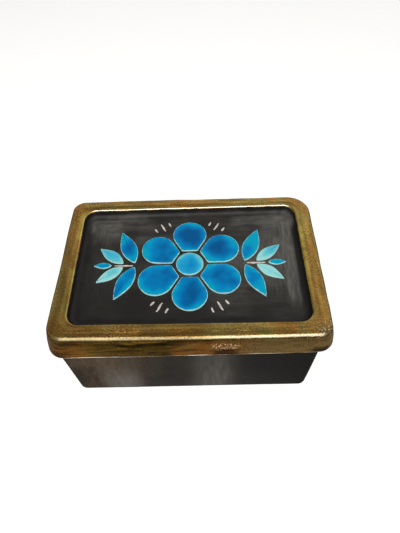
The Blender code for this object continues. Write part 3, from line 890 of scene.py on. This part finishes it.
def make_lid(lid, tray, finishes):
    """One closed cap: lustre over black glaze outside, bare clay inside its skirt."""
    outer, inner = lid_rings(lid), tray_rings(lid, tray)
    rings = np.array([*outer, *crowned_rings(outer[-1], inner[0], lid.crown), *inner])
    rings[:, :, 1] -= front_bulge(lid, rings)
    count, points_each = rings.shape[:2]
    floor_points, floor_faces = fill_outline(rings[-1], (count - 1) * points_each, count * points_each)
    points = np.concatenate([rings.reshape(-1, 3), floor_points])
    faces = [*loft_faces(count, points_each).tolist(), end_faces(count, points_each)[0]]
    faces += floor_faces.tolist()
    materials = [lustre_over_glaze(finishes), bare_clay("bare_stoneware", finishes.clay)]
    piece = add_piece("lid_cap", points, faces, materials, "gold_lustre")
    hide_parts("lid")

    foot_ring = int(np.argmin(rings[:, :, 2].mean(axis=1)))
    edge_ring = count - len(inner)
    bare = np.zeros(len(faces), np.int32)
    bare[: foot_ring * points_each] = 1
    bare[(count - 1) * points_each] = 1
    piece.data.polygons.foreach_set("material_index", bare)
    keep_value(piece, "inside_lustre", inside_lustre(tray, rings, foot_ring, edge_ring, floor_points))

    ring_of = np.arange(len(points)) // points_each
    dents = lid.dent * waves(points, lid.dent_size, seed=1)
    dents = dents + lid.ripple * waves(points, lid.ripple_size, seed=2)
    hollows = tray.hollow * waves(points, tray.hollow_size, seed=3)
    into_tray = np.clip((ring_of - edge_ring) / len(inner), 0, 1)
    # The lid keeps its size, because the dents reach a little out as well as in.
    dents -= lid.dent / 3
    press(piece, points, np.where(ring_of > foot_ring, (1 - into_tray) * dents + into_tray * hollows, 0.0))


def make_body(body, finishes):
    """One closed, hollow box under black glaze, with a bare foot."""
    middle, half = ((BODY_LOW + BODY_HIGH) / 2).xy, np.array(((BODY_HIGH - BODY_LOW) / 2).xy)
    base, top = BODY_LOW.z, BODY_HIGH.z
    path = [
        (body.wall, base),
        (0.0, base),
        (0.0, top),
        (body.wall, top),
        (body.wall, base + body.floor),
        (body.wall + 2 * body.inside_edge, base + body.floor),
    ]
    radii = [body.edge, body.lip, body.lip, body.inside_edge]
    path = rounded_path(path, radii, spacing=2 * MM, bend_steps=5)
    narrowing = (body.corner - body.inside_corner) / body.wall
    corners = np.maximum(body.corner - narrowing * path[:, 0], MM)
    sections = zip(path, corners)
    rings = np.array([outline(half - inward, corner, z, middle) for (inward, z), corner in sections])
    count, points_each = rings.shape[:2]
    points = rings.reshape(-1, 3)
    faces = [*loft_faces(count, points_each).tolist(), *end_faces(count, points_each)]
    materials = [black_glaze(finishes), bare_clay("bare_foot", finishes.clay)]
    piece = add_piece("box_walls", points, faces, materials, "black_glaze")
    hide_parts("box_body")

    bare = np.zeros(len(faces), np.int32)
    bare[: int(np.argmax(path[:, 0] < body.edge)) * points_each] = 1
    bare[-2] = 1
    piece.data.polygons.foreach_set("material_index", bare)
    outside = np.repeat(path[:, 0] < body.edge, points_each)
    upright = 1 - np.abs(vertex_normals(piece)[:, 2])
    press(piece, points, body.dent * waves(points, body.dent_size, seed=5) * outside * upright)


def hand_cut(points, sizes, seed):
    """The outline with even steps, its tips worn round, and a hand's small strays."""
    closed = np.vstack([points, points[:1]])
    runs = np.concatenate([[0.0], np.cumsum(np.linalg.norm(np.diff(closed, axis=0), axis=1))])
    steps = max(FEWEST_CUTS, round(runs[-1] / CUT_SPACING))
    at = np.arange(steps) / steps * runs[-1]
    points = np.column_stack([np.interp(at, runs, closed[:, axis]) for axis in (0, 1)])
    for _ in range(WEAR_ROUNDS):
        points = (np.roll(points, 1, axis=0) + 2 * points + np.roll(points, -1, axis=0)) / 4
    flat = np.column_stack([points, np.zeros(len(points))])
    return inset(points, sizes.wobble * waves(flat, sizes.wobble_size, seed))


def inset(points, distance):
    """The outline moved inward, which is to its left, by a distance."""
    along = unit(np.roll(points, -1, axis=0) - np.roll(points, 1, axis=0))
    inward = np.column_stack([-along[:, 1], along[:, 0]])
    return points + inward * np.reshape(distance, (-1, 1))


def glaze_cell(points, floor, sizes):
    """Rings of a closed cell: walls out of the floor, a rounded edge and a skin of glaze that swells inside.

    With them comes how far from the edge each ring lies, which levels off towards the cell's middle.
    """
    edge = (
        (0.0, -sizes.root),
        (0.0, 0.5 * sizes.height),
        (0.08 * MM, 0.78 * sizes.height),
        (0.25 * MM, 0.95 * sizes.height),
        (0.5 * MM, sizes.height),
        (0.8 * MM, 0.97 * sizes.height),
    )
    level = np.ones(len(points))
    rings = [np.column_stack([inset(points, distance), level * (floor + z)]) for distance, z in edge]
    brim, middle = rings[-1], rings[-1].mean(axis=0)
    across = np.linalg.norm(brim - middle, axis=1).min()
    away = [distance for distance, _ in edge]
    for closing in (0.12, 0.25, 0.4, 0.55, 0.7, 0.84, 0.95):
        levelled = 1 - (1 - closing) ** 2
        rings.append(brim + (middle - brim) * closing + (0, 0, sizes.swell * levelled))
        away.append(edge[-1][0] + across * levelled)
    return np.array(rings), away


def closed_shapes(lofts):
    """The points and faces of several closed shapes as one mesh; each shape is given by its rings."""
    points, faces, used = [], [], 0
    for rings in lofts:
        count, points_each = rings.shape[:2]
        for face in [*loft_faces(count, points_each).tolist(), *end_faces(count, points_each)]:
            faces.append([used + corner for corner in face])
        points.append(rings.reshape(-1, 3))
        used += count * points_each
    return np.concatenate(points), faces


def add_cells(name, outlines, material, floor, centre, sizes, seed):
    """Several glaze cells as one piece."""
    cuts = [hand_cut(flat + centre, sizes, seed + number) for number, flat in enumerate(outlines)]
    cells = [glaze_cell(cut, floor, sizes) for cut in cuts]
    piece = add_piece(name, *closed_shapes([rings for rings, _ in cells]), [material], "blue_glaze")
    keep_value(piece, "from_edge", np.concatenate([np.repeat(away, rings.shape[1]) for rings, away in cells]))


def turned(points, turn):
    """Points turned anticlockwise about the middle."""
    cos, sin = math.cos(turn), math.sin(turn)
    return points @ np.array([[cos, sin], [-sin, cos]])


def astray(number, most):
    """A small share, plus or minus, that gives each hand-cut cell its own size."""
    return most * math.sin(2.4 * number + 0.7)


def petal(number, radius, sizes):
    """A petal's outline: straight sides along its neighbours, and a round end."""
    half_wedge = math.pi / sizes.petals
    groove = sizes.gap / 2
    base = sizes.heart + sizes.gap
    middle = (radius + groove) / (1 + math.sin(half_wedge))
    base_half = base * math.tan(half_wedge) - groove / math.cos(half_wedge)
    sweep = np.linspace(-1, 1, CURVE_STEPS) * (math.pi / 2 + half_wedge)
    end = (radius - middle) * np.column_stack([np.cos(sweep), np.sin(sweep)]) + (middle, 0.0)
    points = np.vstack([[(base, base_half), (base, -base_half)], end])
    return turned(points, math.tau * (number + 0.5) / sizes.petals) * (1 + astray(number, sizes.stray / 2))


def leaf(foot, turn, size, sizes):
    """A leaf from its foot outwards, widest before its middle."""
    along = np.linspace(0, 1, CURVE_STEPS)
    across = sizes.leaf_slimness * size / 2 * np.sin(math.pi * along**sizes.leaf_belly)
    lower = np.column_stack([along * size, -across])
    upper = np.column_stack([along * size, across])[-2:0:-1]
    return turned(np.vstack([lower, upper]), turn) + foot


def sprig(start, end, sizes):
    """The leaves right of the flower: the one at the sprig's end, then each pair."""
    reach = end - start
    size = sizes.leaf_share * reach
    leaves = [leaf((end - size, 0.0), 0.0, size, sizes)]
    for pair in range(sizes.leaf_pairs):
        along = pair / sizes.leaf_pairs
        foot_x = start + (reach - size) * along
        grown = size * (1 + sizes.leaf_growth * (1 - along))
        for side in (1, -1):
            differs = 1 + astray(2 * pair + side, sizes.stray)
            opening = side * sizes.leaf_opening * (1 - sizes.leaf_closing * along) * differs
            leaves.append(leaf((foot_x, side * sizes.gap), opening, grown * differs, sizes))
    return leaves


def ornament_reach(lid, tray, sizes):
    """The flower's radius, and how far the sprigs reach from the tray's middle."""
    half, _ = tray_half_and_centre(lid, tray)
    cove_run = 0.7 * tray.cove
    floor_half = half - tray.wall_run - cove_run
    return floor_half[1] - sizes.flower_margin, floor_half[0] - sizes.sprig_margin


def make_cells(lid, tray, sizes, finishes):
    """The flower's heart and petals, and the sprigs' leaves, in three glazes."""
    radius, reach = ornament_reach(lid, tray, sizes)
    right = sprig(radius, reach, sizes)
    left = [cell[::-1] * (-1, 1) for cell in right]
    round_turn = np.linspace(0, math.tau, HEART_STEPS, endpoint=False)
    heart = sizes.heart * np.column_stack([np.cos(round_turn), np.sin(round_turn)])
    petals = [petal(number, radius, sizes) for number in range(sizes.petals)]
    azure = pooled_glaze(finishes, "azure_glaze", finishes.turquoise, finishes.azure, finishes.deep_blue)
    light = pooled_glaze(finishes, "light_azure_glaze", finishes.aqua, finishes.light_azure, finishes.azure)
    aqua = pooled_glaze(finishes, "aqua_glaze", finishes.pale_aqua, finishes.aqua, finishes.light_azure)
    floor = lid.top - tray.depth
    centre = tray_half_and_centre(lid, tray)[1]
    add_cells("flower_heart", [heart], light, floor, centre, sizes, seed=10)
    add_cells("flower_petals", petals, azure, floor, centre, sizes, seed=20)
    for side, leaves in (("left", left), ("right", right)):
        add_cells(f"{side}_end_leaf", leaves[:1], azure, floor, centre, sizes, seed=40)
        add_cells(f"{side}_first_leaves", leaves[1:3], azure, floor, centre, sizes, seed=50)
        add_cells(f"{side}_second_leaves", leaves[3:], aqua, floor, centre, sizes, seed=60)


def slip_stroke(start, end, floor, sizes, seed):
    """Rings along a low ragged ridge from one point to another."""
    path = np.linspace(start, end, STROKE_STEPS)
    along = unit(path[-1] - path[0])
    aside = np.array([-along[1], along[0]])
    flat = np.column_stack([path, np.zeros(STROKE_STEPS)])
    bend = (waves(flat, 5 * MM, seed) - 0.5) * MM
    width = sizes.stroke_width / 2 * (0.6 + 0.8 * waves(flat, 1.5 * MM, seed + 1))
    taper = np.sin(math.pi * np.linspace(0.03, 0.97, STROKE_STEPS)) ** 0.4
    section = np.array([(-1, -1.5), (-0.9, 0.3), (-0.45, 0.9), (0, 1), (0.45, 0.9), (0.9, 0.3), (1, -1.5)])
    rings = []
    for point, shift, half_width, narrow in zip(path, bend, width, taper):
        across = point + aside * (shift + section[:, :1] * half_width * narrow)
        rings.append(np.column_stack([across, floor + section[:, 1] * sizes.stroke_height * narrow]))
    return np.array(rings)


def make_strokes(lid, tray, sizes, finishes):
    """Pale strokes of slip: a stem for each sprig, and three rays between the tips of neighbouring petals."""
    radius, reach = ornament_reach(lid, tray, sizes)
    floor = lid.top - tray.depth
    centre = tray_half_and_centre(lid, tray)[1]
    end = reach - sizes.leaf_share * (reach - radius) - sizes.gap
    lines = [((side * (radius + sizes.gap), 0.0), (side * end, 0.0)) for side in (-1, 1)]
    # Where a ray starts and stops, in radii of the flower
    short_ray, long_ray = (0.99, 1.09), (0.93, 1.13)
    for number in range(sizes.petals):
        if number % (sizes.petals // 2):
            for ray, (start, stop) in ((-1, short_ray), (0, long_ray), (1, short_ray)):
                way = math.tau * number / sizes.petals + ray * sizes.ray_spread
                lines += [turned(np.array([(radius * start, 0.0), (radius * stop, 0.0)]), way)]
    strokes = [
        slip_stroke(np.array(start) + centre, np.array(stop) + centre, floor, sizes, seed=80 + 3 * number)
        for number, (start, stop) in enumerate(lines)
    ]
    add_piece("slip_strokes", *closed_shapes(strokes), [bare_clay("pale_slip", finishes.chalk)], "bare_clay")


def make_stage(stage, finishes):
    """A pale floor, a soft light overhead, a plain sky and the camera."""
    floor = bpy.data.meshes.new("studio_floor")
    reach = 3.0
    corners = [(x * reach, y * reach, BODY_LOW.z) for x, y in ((-1, -1), (1, -1), (1, 1), (-1, 1))]
    floor.from_pydata(corners, [], [(0, 1, 2, 3)])
    material, add, _ = new_material("matt_floor")
    glow = {"Emission_Color": finishes.floor, "Emission_Strength": stage.floor_glow}
    finish_material(add, Base_Color=finishes.floor, Roughness=0.9, **glow)
    floor.materials.append(material)
    ground = bpy.data.objects.new("studio_floor", floor)
    ground.visible_glossy = False
    bpy.context.scene.collection.objects.link(ground)

    softbox = bpy.data.lights.new("softbox", "AREA")
    softbox.size = stage.softbox_size
    softbox.energy = stage.softbox
    lamp = bpy.data.objects.new("softbox", softbox)
    out = Matrix.Rotation(-stage.softbox_height, 3, "X") @ Vector((0.0, -stage.softbox_away, 0.0))
    lamp.location = Vector((0.0, 0.0, LID_HIGH.z)) + out
    lamp.rotation_euler = (-out).to_track_quat("-Z", "Y").to_euler()
    bpy.context.scene.collection.objects.link(lamp)

    world = bpy.data.worlds.new("studio")
    world.use_nodes = True
    world.node_tree.nodes.clear()
    add = partial(add_node, world.node_tree)
    way = add(WAY)
    up = add(AXES[2], way)
    palest = Matrix.Rotation(-stage.wall_turn, 3, "Z") @ Matrix.Rotation(stage.wall_height, 3, "X")
    toward = add(ALIKE, way, palest @ Vector((0, 1, 0)))
    over = add(SPREAD, toward, 0.4, 1.0, stage.sky, stage.wall)
    over = add(PLUS, over, add(SPREAD, up, 0.3, 0.95, stage.room, 0.0))
    strength = add(SPREAD, up, -1.0, -0.96, stage.table, stage.ground)
    strength = add(MIX, add(SPREAD, up, -0.6, -0.35), strength, stage.shade)
    strength = add(MIX, add(SPREAD, up, -0.2, 0.15), strength, over)
    add(WORLD_END, add(LIGHT, (1.0, 1.0, 1.0, 1.0), strength))
    bpy.context.scene.world = world

    camera = bpy.data.cameras.new("camera")
    camera.lens = stage.lens
    camera.clip_start = 10 * MM
    view = bpy.data.objects.new("camera", camera)
    turn = Matrix.Rotation(-stage.yaw, 4, "Z") @ Matrix.Rotation(math.pi / 2 - stage.pitch, 4, "X")
    view.matrix_world = Matrix.Translation(stage.camera) @ turn @ Matrix.Rotation(stage.roll, 4, "Z")
    bpy.context.scene.collection.objects.link(view)
    bpy.context.scene.camera = view
    bpy.context.scene.view_settings.view_transform = "Standard"


class MakeLid(bpy.types.Operator):
    """Models the lid as one cap with its rim, skirt and tray"""

    bl_idname = "ceramic_box.lid"
    bl_label = "Make Lid"

    def execute(self, context):
        settings = context.scene.ceramic_box
        make_lid(settings.lid, settings.tray, settings.finishes)
        return {"FINISHED"}


class MakeCells(bpy.types.Operator):
    """Models the flower and the sprigs as cells of pooled glaze"""

    bl_idname = "ceramic_box.cells"
    bl_label = "Make Glaze Cells"

    def execute(self, context):
        settings = context.scene.ceramic_box
        make_cells(settings.lid, settings.tray, settings.ornament, settings.finishes)
        return {"FINISHED"}


class MakeStrokes(bpy.types.Operator):
    """Models the pale strokes of slip on the tray's floor"""

    bl_idname = "ceramic_box.strokes"
    bl_label = "Make Slip Strokes"

    def execute(self, context):
        settings = context.scene.ceramic_box
        make_strokes(settings.lid, settings.tray, settings.ornament, settings.finishes)
        return {"FINISHED"}


class MakeBody(bpy.types.Operator):
    """Models the lower half as one hollow box"""

    bl_idname = "ceramic_box.body"
    bl_label = "Make Body"

    def execute(self, context):
        settings = context.scene.ceramic_box
        make_body(settings.body, settings.finishes)
        return {"FINISHED"}


class MakeStage(bpy.types.Operator):
    """Sets the floor, the lights and the camera"""

    bl_idname = "ceramic_box.stage"
    bl_label = "Make Stage"

    def execute(self, context):
        settings = context.scene.ceramic_box
        make_stage(settings.stage, settings.finishes)
        return {"FINISHED"}


class BoxPanel(bpy.types.Panel):
    """Lists the settings and what makes the pieces"""

    bl_idname = "CERAMIC_PT_box"
    bl_label = "Ceramic Box"
    bl_space_type = "VIEW_3D"
    bl_region_type = "UI"
    bl_category = "Ceramic Box"

    def draw(self, context):
        settings = context.scene.ceramic_box
        for maker in MAKERS:
            self.layout.operator(maker.bl_idname)
        for group in settings.bl_rna.properties:
            if group.type != "POINTER" or group.identifier == "rna_type":
                continue
            held = getattr(settings, group.identifier)
            box = self.layout.box()
            box.label(text=group.name)
            for setting in held.bl_rna.properties:
                if not setting.is_readonly:
                    box.prop(held, setting.identifier)


GROUPS = (LidSizes, TraySizes, OrnamentSizes, BodySizes, Finishes, StageSettings, BoxSettings)
MAKERS = (MakeLid, MakeCells, MakeStrokes, MakeBody, MakeStage)


def register():
    for item in (*GROUPS, *MAKERS, BoxPanel):
        bpy.utils.register_class(item)
    bpy.types.Scene.ceramic_box = PointerProperty(type=BoxSettings)


def unregister():
    del bpy.types.Scene.ceramic_box
    for item in reversed((*GROUPS, *MAKERS, BoxPanel)):
        bpy.utils.unregister_class(item)


def main():
    register()
    bpy.ops.ceramic_box.lid()
    bpy.ops.ceramic_box.cells()
    bpy.ops.ceramic_box.strokes()
    bpy.ops.ceramic_box.body()
    bpy.ops.ceramic_box.stage()


if __name__ == "__main__":
    main()
